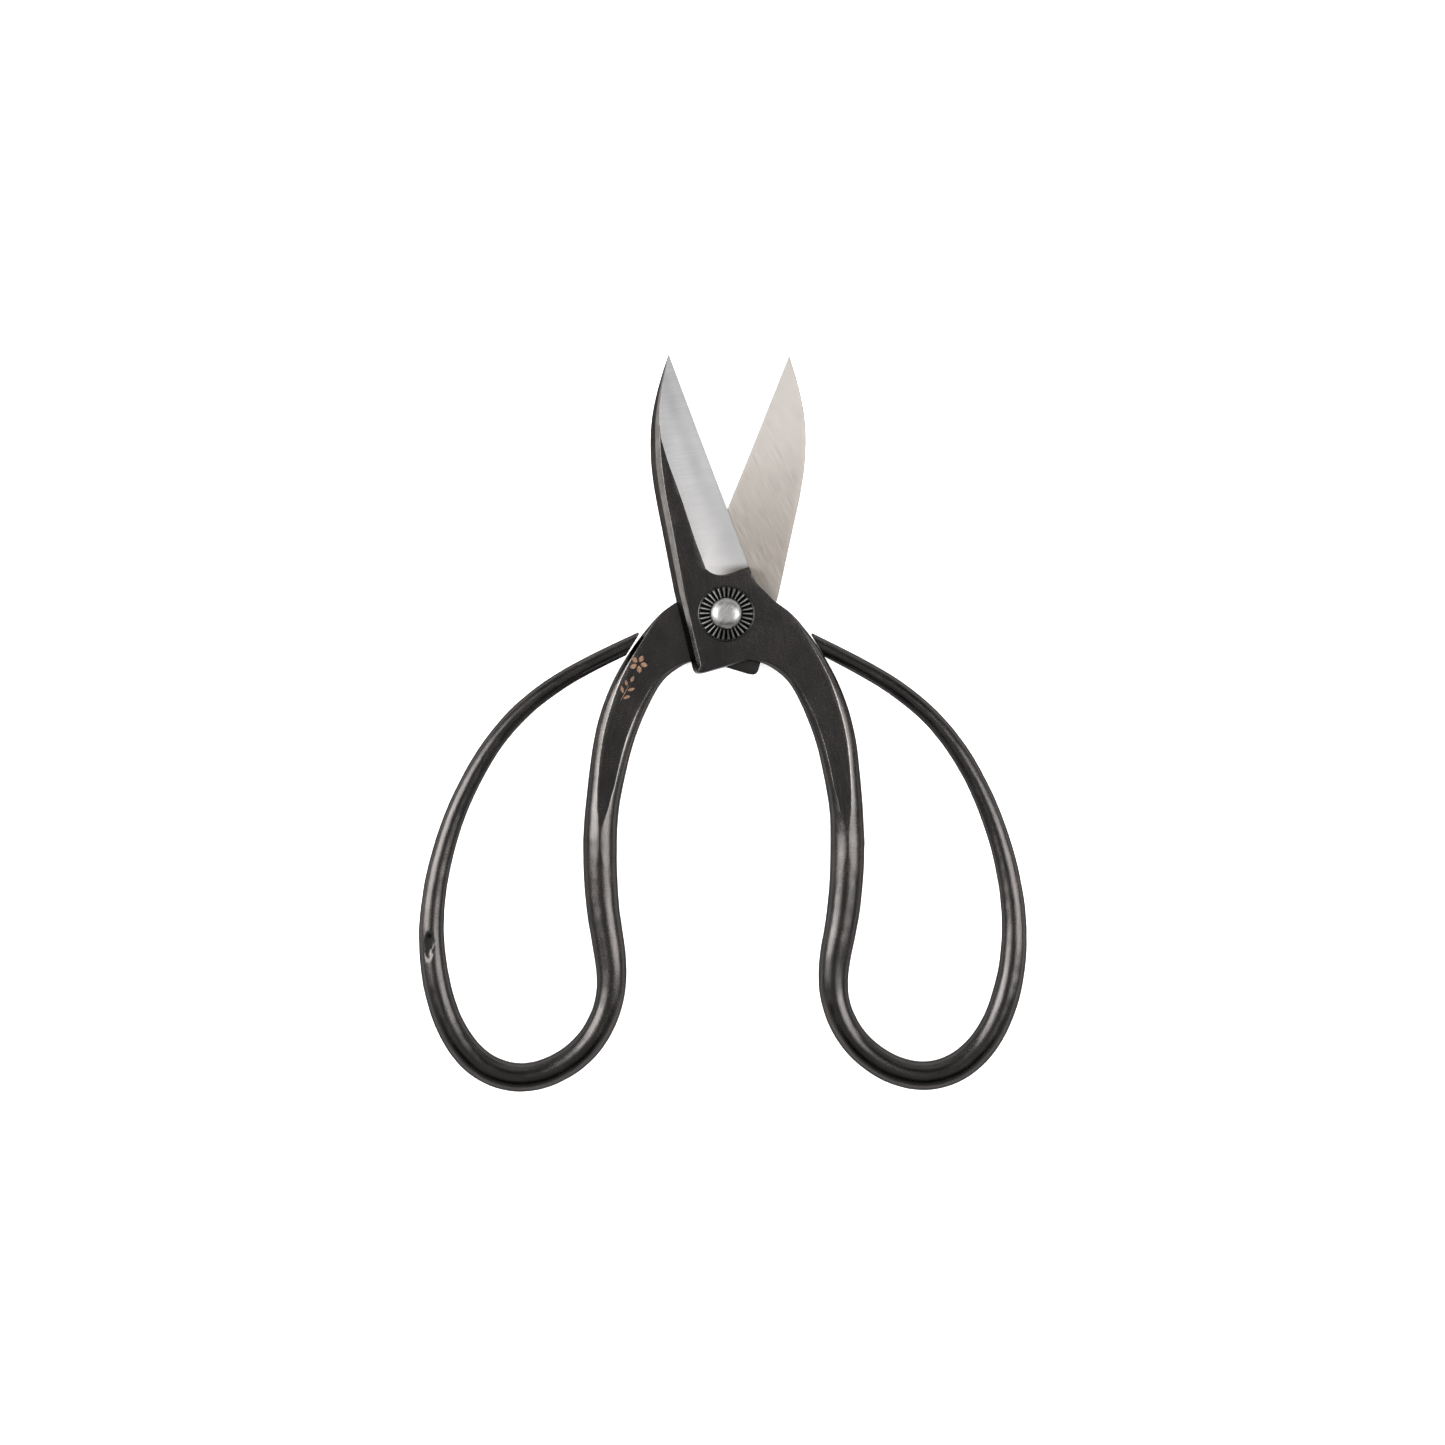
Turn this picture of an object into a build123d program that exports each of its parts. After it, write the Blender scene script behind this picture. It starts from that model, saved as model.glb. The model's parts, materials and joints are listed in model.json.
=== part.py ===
"""Floral snips: two forged halves with finger bows, riveted through crown washers.

The snips lie flat with their blades along +Y and +Z up, part open as they rest.
Each half is one forging: a ground blade, a neck, a flattened shank and a round bow
bent back to the shank. The rear half is the front half turned over about the blade
direction, with one small hammered flat on its bow.
"""

import os
from math import atan2, cos, degrees, radians, sin, tan

from build123d import *
from numpy import interp

os.makedirs("parts", exist_ok=True)

# ---------------------------------------------------------------- driving dimensions
blade_reach = 60.0  # rivet centre to blade tip, along Y
bow_reach = 110.1  # rivet centre to the lowest point of the bows, along Y
half_thickness = 4.4  # each forging at the rivet
mating_gap = 0.03  # between the two ground inner faces
edge_angle = 20.9  # cutting edge from the Y direction, at rest
edge_land = 0.15  # thickness left at the cutting edge
bevel_width = 9.5  # ground bevel, square to the edge
bar_radius = 4.1  # round bar that the shanks are flattened from

rivet_radius = 2.5
running_clearance = 0.03  # between the rivet and the turning half
rivet_head_radius = 3.55
rivet_head_height = 1.5
washer_radius = 6.5
washer_rim_height = 0.45
washer_crown_height = 1.35
washer_rib_count = 30
washer_groove_radius = 0.24
washer_groove_length = 2.3

under_head = half_thickness + mating_gap + washer_crown_height
pivot_y = (bow_reach - blade_reach) / 2
clear = 60.0  # how far a cutting profile reaches past the part

# The joint plane lies between the mating faces, with its origin on the rivet's axis.
# Every place below is measured from there.
joint = Plane((0, pivot_y, under_head + rivet_head_height))
inner_face = joint.offset(mating_gap / 2)
rivet_axis = Axis(joint.origin, (0, 0, 1))
turn_over = Axis(joint.origin, (0, 1, 0))

# ---------------------------------------------------------------- blade places
tip = (-14.1, blade_reach)
edge_heel = (4.75, 10.65)  # where the cutting edge stops
notch = (5.4, 9.6)
neck_end_outer = (21.5, -8.1)
neck_end_inner = (14.2, -14.3)
crotch = (5.3, -10.7)
heel_corner = (-7.0, -14.2)
heel_radius = 2.2
spine_foot = (-16.3, 26.3)  # the spine is straight from the heel up to here
spine_points = [(-17.4, 33.2), (-17.8, 39.6), (-16.9, 49.3), (-15.8, 54.0)]
spine_end = (-13.4, blade_reach + 3)  # the spine's line carried past the tip
spine_draft = 24.0
spine_lean = (heel_corner[0] - spine_foot[0]) / (spine_foot[1] - heel_corner[1])

run_out_corner = (-5.1, 8.9)  # where the ground bevel stops, short of the rivet
run_out_end = (11.0, 10.4)
run_out_radius = 4.6
run_out_draft = 20.0

# ---------------------------------------------------------------- shank and bow places
# Shank stations from the neck to the bow: centre x, centre y, half width, centre height.
shank_stations = [
    (9.8, -3.4, 4.6, 2.2),
    (13.3, -6.9, 5.9, 2.2),
    (17.9, -11.4, 5.2, 2.2),
    (21.7, -18.1, 4.95, 2.15),
    (25.4, -28.2, 4.6, 1.6),
    (27.2, -37.6, 4.2, 0.9),
    (28.2, -45.2, 3.95, 0.3),
    (28.6, -52.6, 3.9, 0.0),
]
# The shank's two flats, seen from the side, open out from here to here.
flats_start = -20.0
flats_end = -50.0

bow_route = [
    (28.6, -52.6),
    (27.4, -70.8),
    (25.8, -87.3),
    (30.3, -98.2),
    (39.7, -105.3),
    (47.5, -106.7),
    (55.0, -104.2),
    (60.9, -98.3),
    (65.6, -87.3),
    (67.3, -72.9),
    (65.1, -56.7),
    (59.4, -40.7),
    (47.5, -23.3),
    (34.7, -13.7),
    (28.0, -10.1),
    (17.4, -4.5),
]
bow_fractions = [0, 0.12, 0.2, 0.4, 0.5, 0.6, 0.68, 0.8, 1]
bow_radii = [3.9, 3.68, 3.25, 3.4, 3.2, 2.75, 2.45, 2.15, 2.0]
bow_sections = 33
# The bow's free end is cut on a slant, so that it lies along the shank's outer edge.
free_end_cut = [(17.15, -0.4), (24.7, -11.4)]
free_end_waste = 14.0  # how far the cut reaches towards the shank

dimple_place = (-70.2, -73.0)  # on the outer side of the rear half's bow
dimple_depth = 0.18
dimple_width = 1.8
dimple_height = 1.0  # above the middle of the rod
dimple_cutter_radius = 24.0


def square_to(path, fraction):
    """Plane across a path, with its x direction upwards."""
    return Plane(path @ fraction, x_dir=(0, 0, 1), z_dir=path % fraction)


# ---------------------------------------------------------------- bow
with BuildLine(joint) as bow_line:
    Spline(*bow_route, tangents=[(0, -1), (-0.92, 0.4)])

with BuildPart() as bow:
    for section in range(bow_sections):
        fraction = section / (bow_sections - 1)
        with BuildSketch(square_to(bow_line.edge(), fraction)):
            Circle(float(interp(fraction, bow_fractions, bow_radii)))
    loft()
    # Everything on the shank's side of the slanted end goes.
    with BuildSketch(joint.offset(-bar_radius)):
        Polygon(
            *free_end_cut,
            (free_end_cut[1][0] - free_end_waste, free_end_cut[1][1]),
            (free_end_cut[0][0] - free_end_waste, free_end_cut[0][1]),
            align=None,
        )
    extrude(amount=2 * bar_radius, mode=Mode.SUBTRACT)

# ---------------------------------------------------------------- shank
with BuildLine(joint) as shank_line:
    Spline(*[station[:2] for station in shank_stations], tangents=[(0.7, -0.71), (0, -1)])

with BuildPart() as shank:
    for x, y, half_width, height in shank_stations:
        fraction = shank_line.edge().param_at_point(joint.from_local_coords((x, y, 0)))
        with BuildSketch(square_to(shank_line.edge(), fraction)):
            with Locations((height, 0)):
                Ellipse(min(bar_radius, half_width), half_width)
    loft()
    # The two flats, cut to their profile seen from the side.
    with BuildSketch(Plane(joint.origin, x_dir=(0, 1, 0), z_dir=(1, 0, 0))):
        Polygon(
            (clear, mating_gap / 2),
            (clear, half_thickness + mating_gap / 2),
            (flats_start, half_thickness + mating_gap / 2),
            (flats_end, bar_radius),
            (-clear, bar_radius),
            (-clear, -bar_radius),
            (flats_end, -bar_radius),
            (flats_start, mating_gap / 2),
            align=None,
        )
    extrude(amount=clear, mode=Mode.INTERSECT)

# ---------------------------------------------------------------- grinding cutter
# The bevel is a plane rising from the cutting edge towards the spine. It stops
# short of the rivet in a steep wall with a rounded corner.
down_edge = Vector(sin(radians(edge_angle)), -cos(radians(edge_angle)), 0)
towards_spine = Vector(-cos(radians(edge_angle)), -sin(radians(edge_angle)), 0)
edge_plane = Plane(
    joint.from_local_coords((*tip, 0)), x_dir=towards_spine, z_dir=-down_edge
)
bevel_rise = (half_thickness - edge_land) / bevel_width
ground_top = blade_reach + 8
ground_side = run_out_corner[0] - (ground_top - run_out_corner[1]) * tan(radians(edge_angle))
ground_depth = half_thickness + 0.5

with BuildPart() as grinding_cutter:
    with BuildSketch(joint.offset(ground_depth)) as ground_area:
        Polygon(
            (ground_side, ground_top),
            run_out_corner,
            run_out_end,
            (run_out_end[0], ground_top),
            align=None,
        )
        fillet(ground_area.vertices().sort_by(Axis.Y)[0], run_out_radius)
    extrude(amount=-ground_depth, taper=run_out_draft)
    with BuildSketch(edge_plane):
        Polygon(
            (-bevel_width, edge_land),
            (0, edge_land),
            (2 * bevel_width, edge_land + 2 * bevel_width * bevel_rise),
            (-bevel_width, edge_land + 2 * bevel_width * bevel_rise),
            align=None,
        )
    extrude(amount=2 * blade_reach, both=True, mode=Mode.INTERSECT)

# ---------------------------------------------------------------- halves
with BuildPart() as front_half:
    with BuildSketch(inner_face):
        with BuildLine():
            Polyline(tip, edge_heel, notch)
            Spline(
                notch,
                (7.9, 6.1),
                (10.8, 3.3),
                (14.1, 1.0),
                (17.5, -2.4),
                neck_end_outer,
                tangents=[(0.5, -0.87), (0.6, -0.8)],
            )
            Line(neck_end_outer, neck_end_inner)
            Spline(
                neck_end_inner,
                (11.7, -12.4),
                (9.1, -11.2),
                crotch,
                tangents=[(-0.7, 0.71), (-1, 0.05)],
            )
            Polyline(crotch, heel_corner, spine_foot)
            Spline(spine_foot, *spine_points, tip, tangents=[(-0.21, 0.98), (0.28, 0.96)])
        make_face()
    extrude(amount=half_thickness)
    upright = front_half.edges().filter_by(Axis.Z)
    fillet(upright.sort_by_distance(joint.from_local_coords((*heel_corner, 0)))[0], heel_radius)
    # The spine's side leans in towards the outer face.
    with BuildSketch(inner_face):
        with BuildLine():
            Spline(
                spine_end,
                *reversed(spine_points),
                spine_foot,
                tangents=[(-0.28, -0.96), (0.21, -0.98)],
            )
            Polyline(
                spine_foot,
                (spine_foot[0] + (spine_foot[1] + clear) * spine_lean, -clear),
                (clear, -clear),
                (clear, spine_end[1]),
                spine_end,
            )
        make_face()
    extrude(amount=half_thickness, taper=spine_draft, mode=Mode.INTERSECT)
    add(grinding_cutter.part, mode=Mode.SUBTRACT)
    add(shank.part)
    add(bow.part)
    with Locations(joint):
        Hole(rivet_radius + running_clearance)
front_half.part.label = "front_half"

dimple_plane = Plane(joint.from_local_coords((*dimple_place, dimple_height)))

with BuildPart() as rear_half:
    add(front_half.part.rotate(turn_over, 180))
    with Locations(dimple_plane.offset(-dimple_width / 2)):
        with Locations((dimple_depth - dimple_cutter_radius, 0, dimple_width / 2)):
            Cylinder(dimple_cutter_radius, dimple_width, mode=Mode.SUBTRACT)
rear_half.part.label = "rear_half"

# ---------------------------------------------------------------- rivet
head_sphere_radius = (rivet_head_radius**2 + rivet_head_height**2) / (2 * rivet_head_height)
rivet_side = Plane(joint.origin, x_dir=(1, 0, 0), z_dir=(0, -1, 0))

with BuildPart() as pivot_rivet:
    with BuildSketch(rivet_side):
        with BuildLine():
            Polyline(
                (0, under_head + rivet_head_height),
                (0, 0),
                (rivet_radius, 0),
                (rivet_radius, under_head),
                (rivet_head_radius, under_head),
            )
            RadiusArc(
                (rivet_head_radius, under_head),
                (0, under_head + rivet_head_height),
                -head_sphere_radius,
            )
        make_face()
    revolve(axis=rivet_axis)
    mirror(about=joint)
pivot_rivet.part.label = "pivot_rivet"

# ---------------------------------------------------------------- crown washers
washer_seat = joint.offset(half_thickness + mating_gap)
rib_run = washer_radius - rivet_head_radius
rib_drop = washer_crown_height - washer_rim_height

with BuildPart() as front_crown_washer:
    with BuildSketch(Plane(washer_seat.origin, x_dir=(1, 0, 0), z_dir=(0, -1, 0))):
        Polygon(
            (rivet_radius, 0),
            (washer_radius, 0),
            (washer_radius, washer_rim_height),
            (rivet_head_radius, washer_crown_height),
            (rivet_radius, washer_crown_height),
            align=None,
        )
    revolve(axis=rivet_axis)
    # Radial grooves leave the ribs of the crown between them.
    with Locations(washer_seat.offset(washer_rim_height + rib_drop / 2)):
        with PolarLocations(rivet_head_radius + rib_run / 2, washer_rib_count):
            Cylinder(
                washer_groove_radius,
                washer_groove_length,
                rotation=(0, 90 + degrees(atan2(rib_drop, rib_run)), 0),
                mode=Mode.SUBTRACT,
            )
front_crown_washer.part.label = "front_crown_washer"

with BuildPart() as rear_crown_washer:
    add(front_crown_washer.part.rotate(turn_over, 180))
rear_crown_washer.part.label = "rear_crown_washer"

for piece in (front_half, rear_half, pivot_rivet, front_crown_washer, rear_crown_washer):
    export_step(piece.part, f"parts/{piece.part.label}.step")
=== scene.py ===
"""Floral snips: the looks of two black forged halves riveted through crown washers.

Lengths are in millimetres, measured from the middle of the rivet: x across the
blades, y towards the tips, z up, with the mating faces at z = 0. Both halves have
one shape, apart from their forging waves, the bend of their bows, the rear bow's
dent and the motif engraved in the rear shank. The front half's object sits as
built, and the rear half's is turned over about y. Meshes are scaled to metres.
"""

import json
from math import cos, hypot, pi, radians, sin, sqrt, tan

import bmesh
import bpy
import numpy as np
from mathutils import Matrix, Vector, noise


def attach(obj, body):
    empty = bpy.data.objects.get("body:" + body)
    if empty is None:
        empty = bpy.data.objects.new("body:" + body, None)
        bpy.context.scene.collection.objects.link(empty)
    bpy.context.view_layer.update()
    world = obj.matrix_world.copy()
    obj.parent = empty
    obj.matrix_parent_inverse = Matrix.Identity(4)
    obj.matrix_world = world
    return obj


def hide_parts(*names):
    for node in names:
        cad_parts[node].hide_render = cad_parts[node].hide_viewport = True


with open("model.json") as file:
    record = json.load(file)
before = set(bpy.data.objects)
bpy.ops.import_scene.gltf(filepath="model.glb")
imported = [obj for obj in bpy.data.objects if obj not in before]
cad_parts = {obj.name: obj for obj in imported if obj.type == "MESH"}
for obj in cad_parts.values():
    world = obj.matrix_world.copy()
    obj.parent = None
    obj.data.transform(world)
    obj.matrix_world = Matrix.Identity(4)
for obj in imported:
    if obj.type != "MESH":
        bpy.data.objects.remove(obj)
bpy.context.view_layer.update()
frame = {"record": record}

MM = 0.001
PIVOT = Vector(frame["record"]["behaviour"]["joints"][0]["pos_m"])
scene = bpy.context.scene

# ---------------------------------------------------------------- camera
PICTURE_WIDTH = 333.8  # what the square picture covers at the object
LENS, SENSOR = 100.0, 36.0
PICTURE_CENTRE = (-0.6, 0.0)  # what the camera looks straight down on, in the shared frame
PICTURE_TURN = radians(0.6)

camera = bpy.data.objects.new("camera", bpy.data.cameras.new("camera"))
scene.collection.objects.link(camera)
camera.data.lens, camera.data.sensor_width = LENS, SENSOR
camera.data.clip_start, camera.data.clip_end = 0.01, 20
camera.location = (
    PICTURE_CENTRE[0] * MM,
    PICTURE_CENTRE[1] * MM,
    PICTURE_WIDTH * MM * LENS / SENSOR + PIVOT.z,
)
camera.rotation_euler = (0, 0, PICTURE_TURN)
scene.camera = camera

# ---------------------------------------------------------------- sizes of a half
HALF_THICKNESS = 4.4
MATING_GAP = 0.03
INNER_Z = MATING_GAP / 2
OUTER_Z = INNER_Z + HALF_THICKNESS

TIP = (-13.95, 60.1)
EDGE_HEEL = (5.15, 10.8)
NOTCH = (5.65, 9.7)
EDGE_ANGLE = radians(21.2)
EDGE_LAND = 0.15
BEVEL_RISE = 0.447  # height of the ground bevel for each unit from the cutting edge
BAR_RADIUS = 4.1
BORE_RADIUS = 2.53
RING_STEP = 0.7

# The spine's side: a leaning wall, then a chamfer, both smaller towards the tip.
WALL_LEAN, WALL_TOP = 1.2, 3.3
CHAMFER_INSET, CHAMFER_RISE = 2.1, 1.1
SHRINK_START = 30  # y above which they get smaller
CROWN_LIFT = 0.75  # how far the outer face may stand above the bevel's upper edge
# The wall's top drops a little along the blade, which widens the chamfer: (y, drop).
DROP_Y = [-10.0, 4.0, 17.0, 31.0, 40.0, 48.0]
DROP = [0.0, 0.2, 0.45, 0.75, 0.65, 0.0]
# Shares of the wall's lean and of the chamfer that are lost past the heel.
HEEL_LEAN_LOSS, HEEL_CHAMFER_LOSS = 0.93, 0.75
CORNER_ROUND = 0.16  # where a side meets the outer face
FOOT_ROUND = 0.12  # where the spine's side meets the inner face
EDGE_ROUND = 0.02  # the cutting edge's corners

# The outer face drops a little towards the tip: (y, height).
TAPER_Y = [9.0, 15.0, 24.2, 34.9, 40.2, 43.3, 50.0, 60.0]
TAPER_Z = [4.4, 4.4, 4.22, 4.15, 4.0, 3.66, 3.0, 2.0]

# Widths of the rounded shoulders beside the shank's flats: (y, outer side, inner side).
SHOULDER_Y = [-52.5, -50.3, -45.0, -40.0, -32.0, -23.0, -16.0, -10.0, -1.0, 3.0]
SHOULDER_OUTER = [4.05, 3.85, 2.85, 2.4, 2.15, 2.0, 1.45, 1.1, 0.75, 0.6]
SHOULDER_INNER = [4.05, 3.85, 2.35, 1.85, 1.8, 1.75, 1.4, 1.1, 0.9, 0.9]
# How round those shoulders are where they meet the flats, in degrees of 90.
FULLNESS_OUTER = [88, 86, 80, 73, 66, 61, 57, 57, 57, 57]
FULLNESS_INNER = [88, 86, 73, 60, 50, 42, 38, 42, 50, 50]
FLATS_START, FLATS_END = -20.0, -52.5

BOW_LEAD_IN = (28.6, -50.0)  # on the shank, so that the route leaves it smoothly
BOW_ROUTE = [
    (28.6, -52.6), (27.4, -70.8), (25.8, -87.3), (30.3, -98.2), (39.7, -105.3),
    (47.5, -106.7), (55.0, -104.2), (60.9, -98.3), (65.6, -87.3), (67.3, -72.9),
    (65.1, -56.7), (59.4, -40.7), (47.5, -23.3), (34.7, -13.8), (28.0, -10.2),
    (20.8, -6.65),
]
# How far down the bow its height, its fullness and the places of its corner points settle.
ROUND_RUN, FULL_RUN, CORNER_RUN = 14, 5, 12
CORNER_SHIFT = 0.57
BOW_FRACTIONS = [0, 0.12, 0.2, 0.4, 0.5, 0.6, 0.68, 0.8, 1]
BOW_RADII = [4.0, 3.75, 3.25, 3.4, 3.2, 2.75, 2.45, 2.15, 1.85]
END_SLANT = radians(32)  # between the bow's free end and its slanted cut
END_SHEAR_RUN, END_REACH = 16.0, 2.15  # how long the slant takes to grow, and its longest side

# The bows were bent by hand: how much lower than the route each one's bottom is.
FRONT_BOW_DROP, REAR_BOW_DROP = -0.55, 0.8
BEND_START, BEND_END = -70, -107  # y

DIMPLE = (67.75, -77.3, -2.9)  # a small flat-bottomed dent in the rear half's bow
DIMPLE_SIZE = (1.05, 3.0)
DIMPLE_FLOOR, DIMPLE_STEEPNESS = -2.45, 2.2
DIMPLE_REACH = 2  # how far above and below its middle it takes hold


# ---------------------------------------------------------------- curves
def natural_cubic(knots, values, at):
    """The smooth curve through values at knots, read at the numbers in at."""
    knots, at = np.asarray(knots, float), np.asarray(at, float)
    values = np.asarray(values, float).reshape(len(knots), -1)
    gap, count = np.diff(knots), len(knots)
    slope = np.diff(values, axis=0) / gap[:, None]
    system, right = np.eye(count), np.zeros_like(values)
    for i in range(1, count - 1):
        system[i, i - 1 : i + 2] = gap[i - 1], 2 * (gap[i - 1] + gap[i]), gap[i]
        right[i] = 6 * (slope[i] - slope[i - 1])
    bend = np.linalg.solve(system, right)
    i = np.clip(np.searchsorted(knots, at, "right") - 1, 0, count - 2)
    width = gap[i][:, None]
    after = ((at - knots[i]) / gap[i])[:, None]
    before = 1 - after
    curve = before * values[i] + after * values[i + 1]
    pull = (before**3 - before) * bend[i] + (after**3 - after) * bend[i + 1]
    return curve + pull * width**2 / 6


def through(*points, step=0.1):
    """A dense smooth line through points."""
    points = np.asarray(points, float)
    knots = np.r_[0, np.cumsum(np.hypot(*np.diff(points, axis=0).T))]
    return natural_cubic(knots, points, np.linspace(0, knots[-1], int(knots[-1] / step) + 2))


def straight(*points, step=0.1):
    """A dense line through points, straight between them."""
    points = np.asarray(points, float)
    knots = np.r_[0, np.cumsum(np.hypot(*np.diff(points, axis=0).T))]
    at = np.linspace(0, knots[-1], int(knots[-1] / step) + 2)
    return np.c_[np.interp(at, knots, points[:, 0]), np.interp(at, knots, points[:, 1])]


def smoothstep(low, high, value):
    """0 at low, 1 at high and a smooth step between; high may be the smaller number."""
    share = np.clip((value - low) / (high - low), 0, 1)
    return share * share * (3 - 2 * share)


class Rail:
    """A dense line, such as one edge of the half's outline, with its length and inward side."""

    def __init__(self, inward_left, *runs):
        self.points = np.vstack([runs[0]] + [run[1:] for run in runs[1:]])
        self.along = np.r_[0, np.cumsum(np.hypot(*np.diff(self.points, axis=0).T))]
        self.turn = 1 if inward_left else -1

    def find(self, place):
        """The length along the rail of its point nearest to a place."""
        return self.along[np.argmin(np.hypot(*(self.points - place).T))]

    def at(self, lengths):
        return np.c_[[np.interp(lengths, self.along, axis) for axis in self.points.T]].T

    def inward(self, lengths, reach=0.35):
        """Unit vectors square to the rail, from its heading over a reach on either side."""
        heading = self.at(lengths + reach) - self.at(lengths - reach)
        heading /= np.hypot(*heading.T)[:, None]
        return self.turn * np.c_[-heading[:, 1], heading[:, 0]]


# ---------------------------------------------------------------- outline of a half
NECK = [(6.5, 7.7), (7.9, 6.1), (9.4, 4.7), (10.8, 3.3), (14.1, 1.0), (17.5, -2.4)]
SHANK_PAIRS = [
    ((21.8, -8.2), (13.75, -14.8)),
    ((26.2, -16.0), (17.2, -20.2)),
    ((29.9, -27.05), (20.9, -29.35)),
    ((31.35, -37.0), (23.05, -38.2)),
    ((32.1, -44.85), (24.3, -45.55)),
    ((32.65, -52.6), (24.6, -52.6)),
]
SPINE_POINTS = [(-15.85, 54.0), (-17.0, 49.3), (-17.75, 44.7), (-18.0, 39.6), (-17.65, 33.2)]
SPINE_FOOT = (-16.55, 26.3)
NECK_TOP, NECK_SIDE = (-15.3, 20.3), (-12.15, 5.0)  # ends of the spine's straight stretch
HEEL_ARC = [(-7.7, -12.5), (-7.4, -13.35), (-6.8, -13.87), (-5.95, -13.95), (-5.05, -13.78)]
CROTCH = (5.3, -10.7)
CROTCH_CURVE = [(7.0, -10.98), (9.1, -11.6), (11.5, -12.95)]

edge_rail = Rail(
    False,
    straight(TIP, EDGE_HEEL, NOTCH),
    through(NOTCH, *NECK, *[pair[0] for pair in SHANK_PAIRS]),
)
spine_rail = Rail(
    True,
    through(TIP, *SPINE_POINTS, SPINE_FOOT, NECK_TOP),
    straight(NECK_TOP, NECK_SIDE, HEEL_ARC[0]),
    through(*HEEL_ARC),
    straight(HEEL_ARC[-1], CROTCH),
    through(CROTCH, *CROTCH_CURVE, *[pair[1] for pair in SHANK_PAIRS]),
)
# Places on the two rails that one ring joins.
JOINED = [
    (TIP, TIP),
    (EDGE_HEEL, (-12.2, 7.6)),
    (NOTCH, (-11.6, 4.7)),
    ((8.6, 5.4), HEEL_ARC[0]),
    ((9.9, 4.2), HEEL_ARC[-1]),
    ((12.4, 2.2), CROTCH),
    *SHANK_PAIRS,
]


def matched_lengths():
    """Lengths along the two rails, ring by ring."""
    marks = [(edge_rail.find(e), spine_rail.find(s)) for e, s in JOINED]
    rows = []
    for (e0, s0), (e1, s1) in zip(marks, marks[1:]):
        rings = int(max(e1 - e0, s1 - s0) / RING_STEP) + 1
        share = np.arange(rings) / rings
        rows.append(np.c_[e0 + share * (e1 - e0), s0 + share * (s1 - s0)])
    lengths = np.vstack(rows + [[marks[-1]]])
    lengths[0] = lengths[1] / 4  # the tip is a small flat, not a point
    return lengths


# ---------------------------------------------------------------- sections
ARC_POINTS, FLAT_POINTS = 9, 7
BEZIER = np.linspace(0, 1, 5)[:, None]


def rounded(corner, before, after):
    """Five points round a corner."""
    corner, before, after = np.array([corner, before, after], float)
    return (1 - BEZIER) ** 2 * before + 2 * BEZIER * (1 - BEZIER) * corner + BEZIER**2 * after


def towards(start, goal, distance):
    """The point at a distance from start towards goal, at most 0.45 of the way."""
    start, goal = np.array(start, float), np.array(goal, float)
    return start + (goal - start) * min(0.45, distance / max(np.linalg.norm(goal - start), 1e-6))


def walled_side(foot, knee, crown, foot_round, crown_round):
    """(inset, height) up a side made of two straight runs with rounded ends."""
    foot_after = towards(foot, knee, foot_round)
    crown_before = towards(crown, knee, crown_round)
    knee = np.array(knee, float)
    lower = [foot_after + (knee - foot_after) * k for k in (0.3, 0.6, 0.9)]
    upper = [knee + (crown_before - knee) * k for k in (0.12, 0.4, 0.7)]
    return np.vstack([
        rounded(foot, (foot[0] + foot_round, foot[1]), foot_after),
        lower, [knee], upper,
        rounded(crown, crown_before, (crown[0] + crown_round, crown[1])),
    ])


class BarSection:
    """A bar's section between two flats: a rounded shoulder on each side of them."""

    def __init__(self, half_width, outer, inner, low, high, fullness):
        self.width = 2 * half_width
        self.shoulders = min(outer, half_width), min(inner, half_width)
        self.middle, self.rise = (low + high) / 2, (high - low) / 2
        self.fullness = fullness  # angles where the sides' curves meet the flats

    def height(self, inset, side):
        """How far above the middle the section is, at a distance from one side."""
        if inset > self.shoulders[side]:
            inset, side = self.width - inset, 1 - side
            if inset >= self.shoulders[side]:
                return self.rise
        fullness = self.fullness[side]
        angle_cosine = 1 - max(inset, 0) * (1 - cos(fullness)) / self.shoulders[side]
        return self.rise * sqrt(max(0, 1 - angle_cosine**2)) / sin(fullness)

    def side(self, side, corner, rounding):
        """(inset, height) up one side, from flat to flat, with the mesh's corners at an inset."""
        shoulder, fullness = self.shoulders[side], self.fullness[side]
        top_cosine = 1 - corner * (1 - cos(fullness)) / shoulder
        top_angle = np.arccos(np.clip(top_cosine, -1, 1))
        stop = top_angle - rounding / max(self.rise, shoulder)
        angles = np.linspace(-stop, stop, ARC_POINTS)
        insets = shoulder * (1 - np.cos(angles)) / (1 - cos(fullness))
        heights = self.rise * np.sin(angles) / sin(fullness)
        arc = np.c_[insets, heights]
        on_flat = corner + rounding, self.height(corner + rounding, side)
        at_corner = corner, self.height(corner, side)
        crown = rounded(at_corner, arc[-1], on_flat)[1:]
        foot = crown[::-1] * (1, -1)
        return np.vstack([foot, arc, crown]) + (0, self.middle)


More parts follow.
